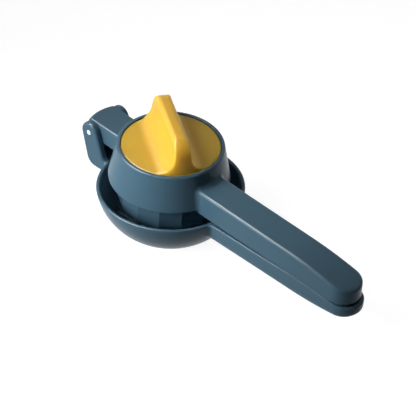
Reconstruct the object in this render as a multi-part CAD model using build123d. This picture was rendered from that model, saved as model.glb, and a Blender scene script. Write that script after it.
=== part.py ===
from build123d import *
import math
import os

# Lemon squeezer. Two arms hinged behind a bowl, with a turning knob and press head in the upper arm.
# Millimetres. The origin lies on the bowl's axis in the plane of its flat base. +X runs along the
# handles to their tips, +Z is up. The arms are closed.

# Shared
overrun = 2.0
edge_slack = 0.05
running_clearance = 0.08
turning_clearance = 0.3

# Bowl
rim_radius = 45.0
rim_height = 27.5
bowl_wall = 2.4
floor_thickness = 2.4
base_radius = 26.8
bowl_bulge = 3.8
rim_round = 0.8
rim_bevel = 0.5
base_round = 1.2

# Drain slots
slot_count = 10
slot_turn = 8.0
slot_width = 3.0
outer_slot_start = 23.0
outer_slot_end = 33.0
inner_slot_start = 8.0
inner_slot_end = 18.0

# Hinge
pin_overhang = 11.6
pin_rise = 16.05
pin_radius = 1.8
pin_chamfer = 0.3
ear_radius = 6.6
ear_thickness = 4.0
ear_back_lean = 14.0
ear_front_lean = 18.0
ear_foot_drop = 7.3
ear_foot_round = 7.0
ear_root_round = 4.0
ear_foot_reach = 9.0
ear_edge_round = 1.6
tongue_clearance = 0.35
web_thickness = 4.0
open_angle = 110.0
stop_clearance = 0.3

# Arm bar, which is the tongue at the hinge and sets the handle's top
bar_half_width = 10.0
bar_top_rise = 6.8
bar_bottom_drop = 5.95
tongue_heel = 6.8
tongue_heel_round = 2.5
tongue_crown_radius = 26.0
tongue_edge_round = 1.2
tongue_root_round = 2.5

# Cup housing
cup_setback = 1.0
cup_edge_drop = 6.5
cup_height = 23.4
cup_edge_radius = 36.9
cup_top_radius = 32.2
cup_wall = 2.4
cup_edge_round = 0.9
cup_rim_width = 2.05
shelf_thickness = 2.4
collar_wall = 3.4
collar_length = 6.0

# Handles
handle_half_width = 10.9
handle_draft = 1.5
handle_wall = 2.4
handle_back_share = 0.7
handle_rib_count = 5
handle_rib_thickness = 1.6
handle_rib_setback = 2.0
handle_root_gap = 3.0
tip_gap = 1.88
root_zone_share = 0.75
upper_tip_setback = 1.6
upper_meet_drop = 8.6
upper_meet_rise = 1.9
upper_crown_length = 45.0
upper_crown_radius = 240.0
upper_edge_round = 1.8
upper_root_round = 3.5
lower_handle_length = 105.0
lower_root_depth = 11.2
lower_bend_depth = 13.0
lower_crown_length = 42.0
lower_crown_radius = 215.0
lower_sag_length = 50.0
lower_sag_radius = 450.0
lower_edge_round = 4.0
lower_root_round = 3.5

# Knob
knob_thickness = 3.2
knob_sink = 0.3
knob_edge_round = 1.1
fin_height = 20.2
fin_crest_width = 8.8
fin_lean = 6.0
fin_crest_round = 3.0
fin_scoop_radius = 10.0
fin_base_inset = 0.9
fin_crest_inset = 1.9
fin_end_round = 9.5
fin_edge_round = 1.4
fin_angle = -31.0
spindle_radius = 6.0
spindle_flat_across = 9.0
spindle_square_length = 8.0

# Press head
press_sides = 14
press_angle = -42.5
press_side_gap = 0.55
press_wall = 2.4
press_belly_drop = 14.25
press_tip_radius = 20.0
press_floor_gap = 8.0
press_tip_wall = 3.0
press_running_gap = 0.4
hub_wall = 2.6
socket_clearance = 0.1

# Screw, washer and plug at the tip of the press head
screw_radius = 2.0
screw_head_radius = 3.8
screw_head_height = 2.4
screw_head_round = 0.8
screw_length = 22.0
washer_radius = 4.6
washer_thickness = 0.8
recess_clearance = 0.2
plug_length = 3.0
plug_chamfer = 0.4
recess_depth = 18.0

# Rings on the spindle
thrust_ring_width = 10.0
thrust_ring_setback = 2.85
thrust_ring_thickness = 1.0
seal_section_radius = 0.9

# Places that follow from the sizes above
pin_x = -(rim_radius + pin_overhang)
pin_z = rim_height + pin_rise
cup_x = -cup_setback
cup_edge_z = pin_z - cup_edge_drop
cup_top_z = cup_edge_z + cup_height
knob_radius = cup_top_radius - cup_rim_width - turning_clearance
knob_top_z = cup_top_z - knob_sink
knob_under_z = knob_top_z - knob_thickness
shelf_top_z = knob_under_z - thrust_ring_thickness
shelf_under_z = shelf_top_z - shelf_thickness
bore_radius = spindle_radius + running_clearance
collar_end_z = shelf_under_z - collar_length
press_top_z = shelf_under_z - press_running_gap
press_belly_z = cup_edge_z - press_belly_drop
ear_half_span = bar_half_width + tongue_clearance + ear_thickness
lower_tip_x = rim_radius + lower_handle_length
lower_bend_x = lower_tip_x - lower_crown_length
lower_sag_x = lower_tip_x - lower_sag_length
upper_tip_x = lower_tip_x - upper_tip_setback
upper_bend_x = upper_tip_x - upper_crown_length
MIN_Z = (Align.CENTER, Align.CENTER, Align.MIN)
MIN_XZ = (Align.MIN, Align.CENTER, Align.MIN)
pin_axis = Axis((pin_x, 0, pin_z), (0, 1, 0))


def closed_tilt():
    """Turn of the level upper arm, in radians, that leaves the tip gap between the handles."""
    reach = upper_tip_x - pin_x
    drop = upper_meet_drop - upper_meet_rise
    sag = lower_sag_radius - math.sqrt(lower_sag_radius**2 - lower_sag_length**2)
    fall = pin_rise + sag - tip_gap
    return math.asin(fall / math.hypot(reach, drop)) - math.atan2(drop, reach)


def cone_radius(z):
    """Outer radius of the cup housing at a height."""
    rise_share = (z - cup_edge_z) / cup_height
    return cup_edge_radius + (cup_top_radius - cup_edge_radius) * rise_share


def press_tip_height():
    """Height of the press head's tip on the level arm, which closes to its gap over the bowl's floor."""
    tilt = closed_tilt()
    closed_z = floor_thickness + press_floor_gap
    fall = (cup_x - pin_x) * math.sin(tilt)
    return pin_z + (closed_z - pin_z + fall) / math.cos(tilt)


arm_tilt = math.degrees(closed_tilt())
shelf_inner_radius = cone_radius(shelf_under_z) - cup_wall
press_apothem = (shelf_inner_radius - press_side_gap) * math.cos(math.pi / press_sides)
press_tip_z = press_tip_height()
recess_floor_z = press_tip_z + recess_depth
spindle_end_z = recess_floor_z + press_tip_wall
socket_top_z = spindle_end_z + spindle_square_length


def side(*edges):
    """Face in the upright middle plane, inside edges drawn as (x, z)."""
    return Plane.XZ * make_face(edges)


def across(face, half_width):
    """Solid of a side face, running equally to both sides of the middle plane."""
    return extrude(face, half_width, both=True)


def turned(face, x):
    """Solid of revolution of a side face about the upright line at x."""
    return revolve(face, Axis((x, 0, 0), (0, 0, 1)))


def disc(x, radius, low, high):
    """Upright round bar at x between two heights."""
    bar = Cylinder(radius, high - low, align=MIN_Z)
    return Pos(x, 0, low) * bar


def on_arm(solid):
    """Turn a piece of the level upper arm about the hinge to where it lies when closed."""
    return solid.rotate(pin_axis, arm_tilt)


def bowl_arc():
    """Centre and radius of the arc of the bowl's outer wall, from its base edge to its rim."""
    spread = rim_radius - base_radius
    chord = math.hypot(spread, rim_height)
    radius = chord**2 / (8 * bowl_bulge) + bowl_bulge / 2
    back_share = (radius - bowl_bulge) / chord
    centre_x = (rim_radius + base_radius) / 2 - rim_height * back_share
    centre_z = rim_height / 2 + spread * back_share
    return centre_x, centre_z, radius


def bowl_radius(inset, z):
    """Radius of the bowl's wall at a height, set in from its outer face."""
    centre_x, centre_z, radius = bowl_arc()
    return centre_x + math.sqrt((radius - inset) ** 2 - (z - centre_z) ** 2)


def bowl_solid(inset, low):
    """Solid inside the bowl's wall, from its floor up to the rim."""
    middle = (low + rim_height) / 2
    foot = (bowl_radius(inset, low), low)
    belly = (bowl_radius(inset, middle), middle)
    rim = (bowl_radius(inset, rim_height), rim_height)
    wall = ThreePointArc(foot, belly, rim)
    rest = Polyline(rim, (0, rim_height), (0, low), foot)
    return turned(side(wall, rest), 0)


def bowl_cavity():
    """Space inside the bowl, open at the top."""
    mouth_radius = bowl_radius(bowl_wall, rim_height)
    mouth = disc(0, mouth_radius, rim_height, rim_height + overrun)
    bevel = Cone(mouth_radius, mouth_radius + rim_bevel, rim_bevel, align=MIN_Z)
    return bowl_solid(bowl_wall, floor_thickness) + mouth + Pos(0, 0, rim_height - rim_bevel) * bevel


def drain_slots(start, end):
    """Ring of radial slots through the bowl's floor."""
    slot = Pos((start + end) / 2, 0) * SlotOverall(end - start, slot_width)
    cut = Pos(0, 0, -overrun) * extrude(slot, rim_height / 2 + overrun)
    return [Rot(0, 0, slot_turn + step * 360 / slot_count) * cut for step in range(slot_count)]


def ear_outline():
    """Side view of an ear with its foot, which reaches in through the bowl's wall."""
    back_lean = math.radians(ear_back_lean)
    front_lean = math.radians(ear_front_lean)
    back = (pin_x - ear_radius * math.cos(back_lean), pin_z - ear_radius * math.sin(back_lean))
    front = (pin_x + ear_radius * math.cos(front_lean), pin_z + ear_radius * math.sin(front_lean))
    crown_turn = (math.pi + back_lean + front_lean) / 2
    summit = (pin_x + ear_radius * math.cos(crown_turn), pin_z + ear_radius * math.sin(crown_turn))
    foot_z = rim_height - ear_foot_drop
    back_foot = (back[0] + (back[1] - foot_z) * math.tan(back_lean), foot_z)
    front_foot = (front[0] + (front[1] - rim_height) * math.tan(front_lean), rim_height)
    inside_x = ear_foot_reach - rim_radius
    top = ThreePointArc(back, summit, front)
    front_edge = FilletPolyline(front, front_foot, (inside_x, rim_height), radius=ear_root_round)
    inner_edge = Line((inside_x, rim_height), (inside_x, foot_z))
    back_edge = FilletPolyline((inside_x, foot_z), back_foot, back, radius=ear_foot_round)
    return side(top, front_edge, inner_edge, back_edge)


def web_top():
    """Height of the web between the ears, which the tongue's heel meets at full opening."""
    heel_x = tongue_heel_round - tongue_heel
    heel_z = bar_top_rise - tongue_heel_round
    turn = math.atan2(heel_z, heel_x) + math.radians(open_angle - arm_tilt)
    low = math.hypot(heel_x, heel_z) * math.sin(turn) - tongue_heel_round
    return pin_z + low - stop_clearance


def tongue_slot():
    """Space between the ears, over the web and down to the foot in front of it."""
    slope = math.tan(math.radians(ear_back_lean))
    face_x = pin_x - (ear_radius - web_thickness) / math.cos(math.radians(ear_back_lean))
    top = web_top()
    high = pin_z + ear_radius + overrun
    far_x = pin_x - ear_radius - ear_foot_round
    near_x = ear_foot_reach - rim_radius
    web = [(far_x, top), (face_x + (pin_z - top) * slope, top)]
    foot = [(face_x + (pin_z - rim_height) * slope, rim_height), (near_x, rim_height)]
    over = [(near_x, high), (far_x, high)]
    return across(side(Polyline(*web, *foot, *over, close=True)), bar_half_width + tongue_clearance)


def side_edges(solid, far_x):
    """Edges round the two outer side faces of a piece, without those at its far end."""
    faces = solid.faces().sort_by(Axis.Y)
    edges = faces[0].edges() + faces[-1].edges()
    return [edge for edge in edges if edge.bounding_box().max.X < far_x - edge_slack]


def ears():
    """Pair of ears with rounded outer edges, joined by the web."""
    block = across(ear_outline(), ear_half_span)
    block = fillet(side_edges(block, ear_foot_reach - rim_radius), ear_edge_round)
    return block - tongue_slot()


def cross_bar(radius, half_length):
    """Round bar along the hinge axis."""
    return Pos(pin_x, 0, pin_z) * Rot(90, 0, 0) * Cylinder(radius, half_length * 2)


def crown(start, lean, radius, end_x):
    """Arc that leaves a straight edge at start and bends down to end_x."""
    centre_x = start[0] + radius * math.sin(lean)
    centre_z = start[1] - radius * math.cos(lean)
    middle_x = (start[0] + end_x) / 2
    middle = (middle_x, centre_z + math.sqrt(radius**2 - (middle_x - centre_x) ** 2))
    end = (end_x, centre_z + math.sqrt(radius**2 - (end_x - centre_x) ** 2))
    return ThreePointArc(start, middle, end)


def handle_side(meet, root, bend, radius):
    """Side view of a handle: its meeting edge, then its back from root over a crowned stretch.

    meet is the edge or edges where the handles meet, drawn from the root to the tip.
    """
    lean = math.atan2(bend[1] - root[1], bend[0] - root[0])
    back = crown(bend, lean, radius, (meet @ 1).X)
    end = Line(meet @ 1, back @ 1)
    start = Polyline(meet @ 0, root, bend)
    return side(meet, end, back, start)


def handle_bar(flank, root_x, tip_x, half_width):
    """Bar with a side view of its own, drafted sides and a round tip. It widens down to z = 0."""
    box = flank.bounding_box()
    straight = tip_x - half_width - root_x
    plan = Pos(root_x + straight / 2, 0) * Rectangle(straight, half_width * 2)
    plan += Pos(tip_x - half_width, 0) * Circle(half_width)
    walls = extrude(plan, box.max.Z + overrun, taper=handle_draft)
    return walls & across(flank, half_width + overrun)


def channelled(bar, hollow, start_x, tip_x):
    """Handle bar made a channel from start_x on, with cross ribs set back from its open side."""
    length = tip_x - start_x
    depth = bar.bounding_box().size.Z
    reach = Box(length, handle_half_width * 2, depth + overrun, align=MIN_XZ)
    channel = hollow & Pos(start_x, 0, -overrun) * reach
    plate = Box(handle_rib_thickness, handle_half_width * 2, depth, align=MIN_Z)
    pitch = length / (handle_rib_count + 1)
    places = [start_x + pitch * (step + 1) for step in range(handle_rib_count)]
    ribs = [channel & Pos(x, 0, handle_rib_setback) * plate for x in places]
    return bar - channel + ribs


def back_edges(bar, root_x):
    """Edges round the crowned back of a handle bar, without its root end."""
    back = bar.faces().filter_by(lambda face: face.normal_at().Z > handle_back_share)
    ends = bar.edges().filter_by(lambda edge: edge.bounding_box().max.X < root_x + edge_slack)
    joins = [edge for edge in back[0].edges() if any(edge.is_same(other) for other in back[-1].edges())]
    return [edge for edge in back.edges() if edge not in ends and edge not in joins]


def edges_within(solid, low_x, high_x, high_z):
    """Edges that lie whole between two places along X and below a height."""
    found = []
    for edge in solid.edges():
        box = edge.bounding_box()
        if box.min.X > low_x and box.max.X < high_x and box.max.Z < high_z:
            found.append(edge)
    return found


def lower_handle():
    """Lower handle, turned over so that its open side is up and level with the bowl's rim."""
    end_x = lower_tip_x + overrun
    flat = Line((0, 0), (lower_sag_x, 0))
    sag = crown((lower_sag_x, 0), 0, lower_sag_radius, end_x)
    meet = Curve() + flat + mirror(sag, about=Plane.XZ)
    root = (0, lower_root_depth)
    bend = (lower_bend_x, lower_bend_depth)
    inner_root = (0, lower_root_depth - handle_wall)
    inner_bend = (lower_bend_x, lower_bend_depth - handle_wall)
    outer = handle_side(meet, root, bend, lower_crown_radius)
    inner = handle_side(meet, inner_root, inner_bend, lower_crown_radius)
    bar = handle_bar(outer, 0, lower_tip_x, handle_half_width)
    bar = fillet(back_edges(bar, 0), lower_edge_round)
    hollow = handle_bar(inner, 0, lower_tip_x - handle_wall, handle_half_width - handle_wall)
    bar = channelled(bar, hollow, rim_radius + handle_root_gap, lower_tip_x)
    return Pos(0, 0, rim_height) * Rot(180, 0, 0) * bar


def bowl_body():
    """Solid bowl with a rounded foot and the lower handle grown from it."""
    bowl = bowl_solid(0, 0)
    bowl = fillet(bowl.edges().filter_by(GeomType.CIRCLE).sort_by(Axis.Z)[0], base_round)
    bowl += lower_handle()
    low_x = rim_radius * root_zone_share
    joint = edges_within(bowl, low_x, rim_radius + edge_slack, rim_height + edge_slack)
    return fillet(joint, lower_root_round)


def outer_rim(arm):
    """Arcs of the bowl's outer rim edge."""
    arcs = arm.edges().filter_by(GeomType.CIRCLE)
    level = arcs.filter_by_position(Axis.Z, rim_height - edge_slack, rim_height + edge_slack)
    return level.filter_by(lambda arc: abs(arc.radius - rim_radius) < edge_slack)


def lower_arm():
    """Bowl, hinge ears and lower handle in one moulding."""
    arm = bowl_body() + ears()
    arm = fillet(outer_rim(arm), rim_round)
    arm -= bowl_cavity()
    arm -= drain_slots(inner_slot_start, inner_slot_end)
    arm -= drain_slots(outer_slot_start, outer_slot_end)
    arm -= cross_bar(pin_radius, ear_half_span + overrun)
    return arm


def cup_body():
    """Solid cone of the cup housing."""
    cone = Cone(cup_edge_radius, cup_top_radius, cup_height, align=MIN_Z)
    return Pos(cup_x, 0, cup_edge_z) * cone


def cup_hollows():
    """Space under the shelf, open below, and the knob's seat above it."""
    mouth_z = min(cup_edge_z, pin_z - upper_meet_drop) - overrun
    mouth_radius = cup_edge_radius - cup_wall
    mouth = [(cup_x, mouth_z), (cup_x + mouth_radius, mouth_z), (cup_x + mouth_radius, cup_edge_z)]
    shelf = [(cup_x + shelf_inner_radius, shelf_under_z), (cup_x, shelf_under_z)]
    under = turned(side(Polyline(*mouth, *shelf, close=True)), cup_x)
    seat = disc(cup_x, knob_radius + turning_clearance, shelf_top_z, cup_top_z + overrun)
    return [under, seat]


def tongue():
    """Bar from the cup back to the hinge, with a round foot and a crowned heel that stops the opening."""
    top_z = pin_z + bar_top_rise
    low_z = pin_z - bar_bottom_drop
    heel_x = pin_x - tongue_heel
    foot_round = min(bar_bottom_drop, tongue_heel) - edge_slack
    lower = FilletPolyline((heel_x, top_z), (heel_x, low_z), (cup_x, low_z), radius=foot_round)
    bar = across(side(lower, Polyline((cup_x, low_z), (cup_x, top_z), (heel_x, top_z))), bar_half_width)
    crown_x = heel_x + tongue_crown_radius
    plan = Pos(crown_x, 0) * Circle(tongue_crown_radius)
    plan += Pos((crown_x + cup_x) / 2, 0) * Rectangle(cup_x - crown_x, tongue_crown_radius * 2)
    bar = bar & Pos(0, 0, low_z) * extrude(plan, top_z - low_z)
    brow = bar.edges().filter_by(GeomType.CIRCLE).sort_by(Axis.Z)[-1]
    bar = fillet(brow, tongue_heel_round)
    return fillet(side_edges(bar, cup_x), tongue_edge_round)


def upper_handle():
    """Upper handle as a channel that is open below."""
    depth = bar_top_rise + upper_meet_drop
    meet = Line((cup_x, 0), (upper_tip_x + overrun, upper_meet_rise))
    outer = handle_side(meet, (cup_x, depth), (upper_bend_x, depth), upper_crown_radius)
    inner_depth = depth - handle_wall
    inner = handle_side(meet, (cup_x, inner_depth), (upper_bend_x, inner_depth), upper_crown_radius)
    bar = handle_bar(outer, cup_x, upper_tip_x, handle_half_width)
    bar = fillet(back_edges(bar, cup_x), upper_edge_round)
    hollow = handle_bar(inner, cup_x, upper_tip_x - handle_wall, handle_half_width - handle_wall)
    bar = channelled(bar, hollow, cup_x + cup_edge_radius + handle_root_gap, upper_tip_x)
    return Pos(0, 0, pin_z - upper_meet_drop) * bar


def seal_height():
    """Middle height of the seal in the collar."""
    return (collar_end_z + shelf_under_z) / 2


def cup_rims(body):
    """Edges round the cup's top and round its mouth."""
    arcs = body.edges().filter_by(GeomType.CIRCLE)
    top = arcs.filter_by_position(Axis.Z, cup_top_z - edge_slack, cup_top_z + edge_slack)
    mouth = arcs.filter_by_position(Axis.Z, cup_edge_z - edge_slack, cup_edge_z + edge_slack)
    return top + mouth.filter_by(lambda arc: abs(arc.radius - cup_edge_radius) < edge_slack)


def upper_body():
    """Solid cup with the tongue and the upper handle grown from it."""
    near = cup_top_radius * root_zone_share
    far = cup_edge_radius + edge_slack
    high_z = cup_top_z - cup_edge_round
    body = cup_body() + upper_handle()
    body = fillet(edges_within(body, cup_x + near, cup_x + far, high_z), upper_root_round)
    body = fillet(cup_rims(body), cup_edge_round)
    body += tongue()
    return fillet(edges_within(body, cup_x - far, cup_x - near, high_z), tongue_root_round)


def upper_arm():
    """Cup housing, hinge tongue and upper handle in one moulding."""
    arm = upper_body() - cup_hollows()
    arm += disc(cup_x, bore_radius + collar_wall, collar_end_z, shelf_top_z)
    arm -= disc(cup_x, bore_radius, collar_end_z - overrun, cup_top_z)
    groove_radius = bore_radius + seal_section_radius * 2
    groove_z = seal_height() - seal_section_radius
    arm -= disc(cup_x, groove_radius, groove_z, groove_z + seal_section_radius * 2)
    arm -= cross_bar(pin_radius + running_clearance, bar_half_width + overrun)
    return on_arm(arm)


def hinge_pin():
    """Plain pin, flush with the ears, with broken edges."""
    pin = cross_bar(pin_radius, ear_half_span)
    return chamfer(pin.edges().filter_by(GeomType.CIRCLE), pin_chamfer)


def fin_section():
    """Cross-section of the grip fin: a rounded crest, leaning walls and a scoop on each side."""
    lean = math.radians(fin_lean)
    half = fin_crest_width / 2
    wall_foot = half + fin_height * math.tan(lean)
    foot = wall_foot + fin_scoop_radius * (1 - math.sin(lean)) / math.cos(lean)
    turn = (math.pi * 5 / 2 + lean) / 2
    waist = (foot + fin_scoop_radius * math.cos(turn), fin_scoop_radius * (1 + math.sin(turn)))
    shoulder = (foot - fin_scoop_radius * math.cos(lean), fin_scoop_radius * (1 - math.sin(lean)))
    right = [(foot, 0), waist, shoulder]
    left = [(-y, z) for y, z in reversed(right)]
    corners = [shoulder, (half, fin_height), (-half, fin_height), left[0]]
    crest = FilletPolyline(*corners, radius=fin_crest_round)
    base = Line(left[-1], right[0])
    return Plane.YZ * make_face([ThreePointArc(*right), crest, ThreePointArc(*left), base])


def knob_fin():
    """Grip fin along X over a floor at z = 0, its ends cut by a round puck with a soft brow."""
    ridge = extrude(fin_section(), knob_radius, both=True)
    base = (knob_radius - fin_base_inset, 0)
    brow_z = fin_height + edge_slack
    brow = (knob_radius - fin_crest_inset, brow_z)
    wall = FilletPolyline(base, brow, (0, brow_z), radius=fin_end_round)
    puck = turned(side(wall, Polyline((0, brow_z), (0, 0), base)), 0)
    fin = ridge & puck
    curved = fin.edges().filter_by(GeomType.LINE, reverse=True)
    ends = [edge for edge in curved if edge.bounding_box().size.Z > edge_slack]
    return fillet(ends, fin_edge_round)


def knob():
    """Round knob with its grip fin, and the spindle with a square end below it."""
    body = disc(cup_x, knob_radius, knob_under_z, knob_top_z)
    body = fillet(body.edges().filter_by(GeomType.CIRCLE).sort_by(Axis.Z)[-1], knob_edge_round)
    body += Pos(cup_x, 0, knob_top_z) * Rot(0, 0, fin_angle) * knob_fin()
    body += disc(cup_x, spindle_radius, socket_top_z, knob_under_z)
    square = square_bar(spindle_flat_across, spindle_end_z, socket_top_z)
    body += square & disc(cup_x, spindle_radius, spindle_end_z, socket_top_z)
    body -= disc(cup_x, screw_radius, spindle_end_z - overrun, screw_seat_z() + screw_length)
    return on_arm(body)


def square_bar(flat_across, low, high):
    """Upright square bar on the cup's axis."""
    return Pos(cup_x, 0, low) * Box(flat_across, flat_across, high - low, align=MIN_Z)


def screw_seat_z():
    """Height of the underside of the screw's head, against the washer."""
    return recess_floor_z - washer_thickness


def vault(apothem, low, high):
    """Many-sided dome on the cup's axis with a flat tip, straight above its belly."""
    tip = press_tip_radius
    width = apothem - tip
    height = press_belly_z - low
    arc_radius = (width**2 + height**2) / (2 * width)
    bulge = apothem - arc_radius + math.sqrt(arc_radius**2 - (height / 2) ** 2)
    middle_z = low + height / 2
    right = ThreePointArc((tip, low), (bulge, middle_z), (apothem, press_belly_z))
    left = ThreePointArc((-apothem, press_belly_z), (-bulge, middle_z), (-tip, low))
    over = Polyline((apothem, press_belly_z), (apothem, high), (-apothem, high), (-apothem, press_belly_z))
    slab = across(side(right, over, left, Line((-tip, low), (tip, low))), apothem + overrun)
    dome = slab
    for turn in range(1, press_sides // 2):
        dome = dome & Rot(0, 0, turn * 360 / press_sides) * slab
    return Pos(cup_x, 0, 0) * Rot(0, 0, press_angle) * dome


def press_head():
    """Hollow many-sided dome with a hub that takes the spindle's square end and the screw."""
    head = vault(press_apothem, press_tip_z, press_top_z)
    head -= vault(press_apothem - press_wall, press_tip_z + press_tip_wall, press_top_z + overrun)
    hub_radius = spindle_flat_across / math.sqrt(2) + hub_wall
    head += disc(cup_x, hub_radius, press_tip_z + press_tip_wall / 2, socket_top_z)
    head -= disc(cup_x, washer_radius + recess_clearance, press_tip_z - overrun, recess_floor_z)
    head -= disc(cup_x, screw_radius + recess_clearance, recess_floor_z, spindle_end_z)
    head -= square_bar(spindle_flat_across + socket_clearance * 2, spindle_end_z, socket_top_z + overrun)
    return on_arm(head)


def spindle_screw():
    """Screw with a round head, from the recess up into the spindle."""
    seat_z = screw_seat_z()
    head = disc(cup_x, screw_head_radius, seat_z - screw_head_height, seat_z)
    head = fillet(head.edges().filter_by(GeomType.CIRCLE).sort_by(Axis.Z)[0], screw_head_round)
    return on_arm(head + disc(cup_x, screw_radius, seat_z, seat_z + screw_length))


def screw_washer():
    """Washer between the screw's head and the recess."""
    ring = disc(cup_x, washer_radius, screw_seat_z(), recess_floor_z)
    return on_arm(ring - disc(cup_x, screw_radius + recess_clearance, screw_seat_z(), recess_floor_z))


def screw_plug():
    """Soft plug that closes the recess flush with the tip."""
    plug = disc(cup_x, washer_radius + recess_clearance, press_tip_z, press_tip_z + plug_length)
    return on_arm(chamfer(plug.edges().filter_by(GeomType.CIRCLE).sort_by(Axis.Z)[-1], plug_chamfer))


def thrust_ring():
    """Slip ring on the shelf, which the knob turns on."""
    outer_radius = knob_radius - thrust_ring_setback
    ring = disc(cup_x, outer_radius, shelf_top_z, knob_under_z - running_clearance)
    return on_arm(ring - disc(cup_x, outer_radius - thrust_ring_width, shelf_top_z, knob_under_z))


def spindle_seal():
    """Soft ring in the collar's groove, round the spindle."""
    ring = Torus(bore_radius + seal_section_radius, seal_section_radius)
    return on_arm(Pos(cup_x, 0, seal_height()) * ring)


nodes = {
    "lower_arm": lower_arm,
    "upper_arm": upper_arm,
    "hinge_pin": hinge_pin,
    "knob": knob,
    "press_head": press_head,
    "spindle_screw": spindle_screw,
    "screw_washer": screw_washer,
    "screw_plug": screw_plug,
    "thrust_ring": thrust_ring,
    "spindle_seal": spindle_seal,
}

os.makedirs("parts", exist_ok=True)
for name, make in nodes.items():
    export_step(make(), f"parts/{name}.step")
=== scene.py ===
import math

import bpy
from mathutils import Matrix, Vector

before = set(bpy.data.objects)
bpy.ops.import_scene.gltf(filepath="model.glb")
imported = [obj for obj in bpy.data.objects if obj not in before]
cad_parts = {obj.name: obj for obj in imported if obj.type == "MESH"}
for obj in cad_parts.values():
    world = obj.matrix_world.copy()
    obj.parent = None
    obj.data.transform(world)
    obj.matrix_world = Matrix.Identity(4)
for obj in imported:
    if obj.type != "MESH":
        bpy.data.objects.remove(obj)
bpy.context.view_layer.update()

# Camera at the photograph's viewing angle
CAMERA_PLACE = (0.62833, -0.63360, 0.71608)
CAMERA_TURN_DEG = (51.636, -1.248, 44.283)
CAMERA_LENS_MM = 162.15
CAMERA_SENSOR_MM = 36.0

# Key light from the left, which lights the sides of the arms
KEY_PLACE = (-0.132, -0.346, 0.185)
KEY_AIM = (0.025, 0.0, 0.045)
KEY_SIZE = 0.24
KEY_POWER = 0.425
KEY_SPREAD_DEG = 80.0

# Top light on the knob and the tops of the arms, with no reflection of its own
TOP_PLACE = (-0.10, -0.20, 0.36)
TOP_AIM = (0.025, 0.0, 0.06)
TOP_SIZE = 0.20
TOP_POWER = 0.049
TOP_SPREAD_DEG = 40.0

# Two lights that show only as reflections along the rounded edges
GLEAM_PLACE = (-0.166, -0.088, 0.388)
GLEAM_SIZE = 0.24
GLEAM_POWER = 12.0
SHEEN_PLACE = (-0.186, -0.300, 0.225)
SHEEN_SIZE = 0.30
SHEEN_POWER = 1.6
OPEN_SPREAD_DEG = 180.0

# Wide fill from behind
FILL_PLACE = (0.0, 0.0, 0.0)
FILL_TOWARDS = (-0.25, 0.965, 0.08)
FILL_ANGLE_DEG = 40.0
FILL_STRENGTH = 2.2

# World and floor. The floor doesn't glow under the bowl's base, which paints a shadow there
WHITE = (1.0, 1.0, 1.0, 1.0)
AMBIENT = 0.05
BACKGROUND = 1.0
FLOOR_SIZE = 8.0
FLOOR_DROP = 0.0002
FLOOR_COLOUR = (0.20, 0.20, 0.20, 1.0)
FLOOR_SHADE = (0.30, 0.30, 0.30, 1.0)
FLOOR_GLOW = 0.92
FLOOR_PAINTED_SHADE_FROM = 0.0262
FLOOR_PAINTED_SHADE_TO = 0.0270

# Colours, linear: the body of the material, its darker mottle and its edges, lighter for wear and
# partly as a painted highlight
ARM_COLOURS = ((0.058, 0.122, 0.172), (0.056, 0.118, 0.167), (0.082, 0.152, 0.204))
KNOB_COLOURS = ((0.72, 0.44, 0.046), (0.705, 0.43, 0.043), (0.76, 0.50, 0.075))
STEEL_COLOURS = ((0.55, 0.54, 0.54), (0.47, 0.47, 0.48), (0.85, 0.85, 0.85))
RUBBER_COLOURS = ((0.035, 0.060, 0.080), (0.028, 0.050, 0.068), (0.070, 0.100, 0.120))
SLIP_COLOURS = ((0.68, 0.68, 0.66), (0.60, 0.60, 0.58), (0.80, 0.80, 0.78))

# Finishes: lowest and highest roughness, wear and painted highlight on the edges, depth of the
# grain, gloss and softness
ARM_ROUGH = (0.27, 0.30)
KNOB_ROUGH = (0.27, 0.31)
STEEL_ROUGH = (0.52, 0.62)
RUBBER_ROUGH = (0.62, 0.74)
SLIP_ROUGH = (0.40, 0.50)
# How much the edges lighten, for wear and partly as a painted highlight
PLAIN_WEAR_AND_HIGHLIGHT = 0.30
STEEL_WEAR_AND_HIGHLIGHT = 0.40
SATIN_GRAIN = 0.08
STEEL_GRAIN = 0.05
RUBBER_GRAIN = 0.20
SLIP_GRAIN = 0.10
PLAIN_GLOSS = 0.5
ARM_GLOSS = 0.1
KNOB_GLOSS = 0.12
KNOB_SOFT = 0.8
SOFT_RADIUS = (1.0, 1.0, 1.0)
SOFT_SCALE = 0.010

# Patterns of the materials
MOTTLE_SCALE = 28.0
MOTTLE_DETAIL = 3.0
MOTTLE_LOW = 0.15
MOTTLE_HIGH = 0.85
GRAIN_SCALE = 2600.0
GRAIN_DETAIL = 2.0
GRAIN_HEIGHT = 0.00004
EDGE_RADIUS = 0.0006
EDGE_SAMPLES = 6
EDGE_FROM = 0.985
EDGE_TO = 0.90

# Colour sockets of the Mix node
MIX_FIRST = 6
MIX_SECOND = 7
MIX_RESULT = 2


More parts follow.
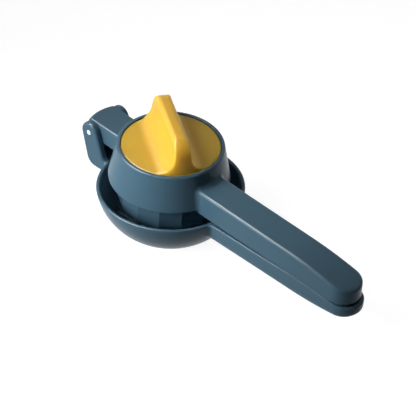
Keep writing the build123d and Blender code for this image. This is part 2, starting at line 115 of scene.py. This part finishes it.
class Nodes:
    """Node tree of a new material, with its shader and its texture coordinate."""

    def __init__(self, name):
        self.material = bpy.data.materials.new(name)
        self.material.use_nodes = True
        self.tree = self.material.node_tree
        self.shader = self.tree.nodes["Principled BSDF"]
        self.place = self.add("ShaderNodeTexCoord").outputs["Object"]

    def add(self, kind, **settings):
        """New node with its settings."""
        node = self.tree.nodes.new(kind)
        for key, value in settings.items():
            setattr(node, key, value)
        return node

    def link(self, output, node, socket):
        """Join an output to a socket of a node."""
        self.tree.links.new(output, node.inputs[socket])

    def noise(self, scale, detail):
        """Noise in the object's own coordinates."""
        node = self.add("ShaderNodeTexNoise")
        node.inputs["Scale"].default_value = scale
        node.inputs["Detail"].default_value = detail
        self.link(self.place, node, "Vector")
        return node.outputs["Fac"]

    def spread(self, value, low, high, from_low=MOTTLE_LOW, from_high=MOTTLE_HIGH):
        """Value stretched from one range to another."""
        node = self.add("ShaderNodeMapRange")
        node.inputs["From Min"].default_value = from_low
        node.inputs["From Max"].default_value = from_high
        node.inputs["To Min"].default_value = low
        node.inputs["To Max"].default_value = high
        self.link(value, node, "Value")
        return node.outputs["Result"]

    def mix(self, factor, first, second):
        """Blend of two colours, each a tuple or another node's output."""
        node = self.add("ShaderNodeMix", data_type="RGBA")
        self.link(factor, node, "Factor")
        for socket, colour in ((MIX_FIRST, first), (MIX_SECOND, second)):
            if isinstance(colour, tuple):
                node.inputs[socket].default_value = (*colour, 1.0)
            else:
                self.link(colour, node, socket)
        return node.outputs[MIX_RESULT]


def wear_and_highlight_edges(nodes, amount):
    """Factor that rises on edges, for wear and a painted highlight, and the bevel node that bends
    the normal there.
    """
    bevel = nodes.add("ShaderNodeBevel", samples=EDGE_SAMPLES)
    bevel.inputs["Radius"].default_value = EDGE_RADIUS
    geometry = nodes.add("ShaderNodeNewGeometry")
    dot = nodes.add("ShaderNodeVectorMath", operation="DOT_PRODUCT")
    nodes.link(bevel.outputs["Normal"], dot, 0)
    nodes.link(geometry.outputs["Normal"], dot, 1)
    return nodes.spread(dot.outputs["Value"], 0.0, amount, EDGE_FROM, EDGE_TO), bevel


def moulded(name, colours, rough, wear_and_highlight, grain, gloss=PLAIN_GLOSS, metal=0.0, soft=0.0):
    """Surface with a soft mottle, fine grain, uneven gloss, and edges made lighter for slight wear
    and a painted highlight.
    """
    colour, deep, edge = colours
    nodes = Nodes(name)
    mottle = nodes.noise(MOTTLE_SCALE, MOTTLE_DETAIL)
    fine = nodes.noise(GRAIN_SCALE, GRAIN_DETAIL)
    # Edges lighter for wear, and partly as a painted highlight
    edges, bevel = wear_and_highlight_edges(nodes, wear_and_highlight)
    body = nodes.mix(nodes.spread(mottle, 0.0, 1.0), colour, deep)
    nodes.link(nodes.mix(edges, body, edge), nodes.shader, "Base Color")
    nodes.link(nodes.spread(mottle, *rough), nodes.shader, "Roughness")
    bump = nodes.add("ShaderNodeBump")
    bump.inputs["Strength"].default_value = grain
    bump.inputs["Distance"].default_value = GRAIN_HEIGHT
    nodes.link(fine, bump, "Height")
    nodes.link(bevel.outputs["Normal"], bump, "Normal")
    nodes.link(bump.outputs["Normal"], nodes.shader, "Normal")
    nodes.shader.inputs["Metallic"].default_value = metal
    nodes.shader.inputs["Specular IOR Level"].default_value = gloss
    nodes.shader.inputs["Subsurface Weight"].default_value = soft
    nodes.shader.inputs["Subsurface Radius"].default_value = SOFT_RADIUS
    nodes.shader.inputs["Subsurface Scale"].default_value = SOFT_SCALE
    return nodes.material


def hang(lamp, place, towards):
    """Put a lamp in the scene, with its back to a direction."""
    holder = bpy.data.objects.new(lamp.name, lamp)
    holder.location = place
    holder.rotation_mode = "QUATERNION"
    holder.rotation_quaternion = Vector(towards).to_track_quat("Z", "Y")
    holder.visible_camera = False
    bpy.context.scene.collection.objects.link(holder)
    return holder


def softbox(name, place, aim, size, power, spread_deg):
    """Near round soft light. A narrow spread fades it along the handles."""
    lamp = bpy.data.lights.new(name, "AREA")
    lamp.shape = "DISK"
    lamp.size = size
    lamp.energy = power
    lamp.spread = math.radians(spread_deg)
    return hang(lamp, place, Vector(place) - Vector(aim))


def back_fill():
    """Wide weak light from behind."""
    lamp = bpy.data.lights.new("fill", "SUN")
    lamp.energy = FILL_STRENGTH
    lamp.angle = math.radians(FILL_ANGLE_DEG)
    hang(lamp, FILL_PLACE, FILL_TOWARDS).visible_glossy = False


def make_lights():
    """Key, top, the two edge reflections and the fill."""
    softbox("key", KEY_PLACE, KEY_AIM, KEY_SIZE, KEY_POWER, KEY_SPREAD_DEG)
    top = softbox("top", TOP_PLACE, TOP_AIM, TOP_SIZE, TOP_POWER, TOP_SPREAD_DEG)
    top.visible_glossy = False
    gleam = softbox("gleam", GLEAM_PLACE, KEY_AIM, GLEAM_SIZE, GLEAM_POWER, OPEN_SPREAD_DEG)
    gleam.visible_diffuse = False
    sheen = softbox("sheen", SHEEN_PLACE, KEY_AIM, SHEEN_SIZE, SHEEN_POWER, OPEN_SPREAD_DEG)
    sheen.visible_diffuse = False
    back_fill()


def seen_directly(nodes, links):
    """1 on camera, glossy and transmission rays, and 0 on the rays that light the object."""
    path = nodes.new("ShaderNodeLightPath")
    seen = path.outputs["Is Camera Ray"]
    for ray in ("Is Glossy Ray", "Is Transmission Ray"):
        either = nodes.new("ShaderNodeMath")
        either.operation = "MAXIMUM"
        links.new(seen, either.inputs[0])
        links.new(path.outputs[ray], either.inputs[1])
        seen = either.outputs[0]
    return seen


def make_world():
    """White where it is seen, and a plain low light all round."""
    world = bpy.data.worlds.new("studio")
    world.use_nodes = True
    nodes, links = world.node_tree.nodes, world.node_tree.links
    level = nodes.new("ShaderNodeMapRange")
    level.inputs["To Min"].default_value = AMBIENT
    level.inputs["To Max"].default_value = BACKGROUND
    links.new(seen_directly(nodes, links), level.inputs["Value"])
    background = nodes["Background"]
    background.inputs["Color"].default_value = WHITE
    links.new(level.outputs["Result"], background.inputs["Strength"])
    bpy.context.scene.world = world


def floor_glow(nodes, links):
    """Glow that makes the floor look white, apart from the ground under the bowl's base, which is
    left dark as a painted shadow.
    """
    place = nodes.new("ShaderNodeTexCoord")
    away = nodes.new("ShaderNodeVectorMath")
    away.operation = "LENGTH"
    links.new(place.outputs["Object"], away.inputs[0])
    # Glow falls to nothing under the bowl's base: a painted shadow
    level = nodes.new("ShaderNodeMapRange")
    level.inputs["From Min"].default_value = FLOOR_PAINTED_SHADE_FROM
    level.inputs["From Max"].default_value = FLOOR_PAINTED_SHADE_TO
    level.inputs["To Min"].default_value = 0.0
    level.inputs["To Max"].default_value = FLOOR_GLOW
    links.new(away.outputs["Value"], level.inputs["Value"])
    glow = nodes.new("ShaderNodeEmission")
    links.new(level.outputs["Result"], glow.inputs["Strength"])
    return glow


def floor_material():
    """Matt floor for the light it returns, and a glowing one with a shadow where it is seen."""
    material = bpy.data.materials.new("floor_pale")
    material.use_nodes = True
    nodes, links = material.node_tree.nodes, material.node_tree.links
    nodes.remove(nodes["Principled BSDF"])
    plain = nodes.new("ShaderNodeBsdfDiffuse")
    plain.inputs["Color"].default_value = FLOOR_COLOUR
    shade = nodes.new("ShaderNodeBsdfDiffuse")
    shade.inputs["Color"].default_value = FLOOR_SHADE
    both = nodes.new("ShaderNodeAddShader")
    links.new(shade.outputs[0], both.inputs[0])
    links.new(floor_glow(nodes, links).outputs[0], both.inputs[1])
    choice = nodes.new("ShaderNodeMixShader")
    links.new(seen_directly(nodes, links), choice.inputs[0])
    links.new(plain.outputs[0], choice.inputs[1])
    links.new(both.outputs[0], choice.inputs[2])
    links.new(choice.outputs[0], nodes["Material Output"].inputs["Surface"])
    return material


def make_floor():
    """Square floor just under the bowl's base."""
    half = FLOOR_SIZE / 2
    corners = [(-half, -half, -FLOOR_DROP), (half, -half, -FLOOR_DROP)]
    corners += [(half, half, -FLOOR_DROP), (-half, half, -FLOOR_DROP)]
    mesh = bpy.data.meshes.new("floor")
    mesh.from_pydata(corners, [], [(0, 1, 2, 3)])
    mesh.materials.append(floor_material())
    floor = bpy.data.objects.new("floor", mesh)
    bpy.context.scene.collection.objects.link(floor)


def make_camera():
    """Camera that sees the object as the photograph does."""
    lens = bpy.data.cameras.new("camera")
    lens.lens = CAMERA_LENS_MM
    lens.sensor_width = CAMERA_SENSOR_MM
    camera = bpy.data.objects.new("camera", lens)
    camera.location = CAMERA_PLACE
    camera.rotation_euler = [math.radians(turn) for turn in CAMERA_TURN_DEG]
    bpy.context.scene.collection.objects.link(camera)
    bpy.context.scene.camera = camera


def dress():
    """Give every piece of the frame its finished material."""
    satin = (ARM_ROUGH, PLAIN_WEAR_AND_HIGHLIGHT, SATIN_GRAIN, ARM_GLOSS)
    arm = moulded("arm_satin", ARM_COLOURS, *satin)
    press = moulded("press_satin", ARM_COLOURS, *satin)
    glossier = (KNOB_ROUGH, PLAIN_WEAR_AND_HIGHLIGHT, SATIN_GRAIN, KNOB_GLOSS)
    knob = moulded("knob_satin", KNOB_COLOURS, *glossier, soft=KNOB_SOFT)
    steel = moulded("pin_steel", STEEL_COLOURS, STEEL_ROUGH, STEEL_WEAR_AND_HIGHLIGHT, STEEL_GRAIN, metal=1.0)
    rubber = moulded("soft_rubber", RUBBER_COLOURS, RUBBER_ROUGH, PLAIN_WEAR_AND_HIGHLIGHT, RUBBER_GRAIN)
    slip = moulded("slip_ring", SLIP_COLOURS, SLIP_ROUGH, PLAIN_WEAR_AND_HIGHLIGHT, SLIP_GRAIN)
    finishes = {
        "lower_arm": arm,
        "upper_arm": arm,
        "press_head": press,
        "knob": knob,
        "hinge_pin": steel,
        "spindle_screw": steel,
        "screw_washer": steel,
        "screw_plug": rubber,
        "spindle_seal": rubber,
        "thrust_ring": slip,
    }
    for name, material in finishes.items():
        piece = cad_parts[name]
        for slot in piece.material_slots:
            slot.material = material


make_camera()
make_world()
make_floor()
make_lights()
dress()
bpy.context.scene.view_settings.view_transform = "Standard"
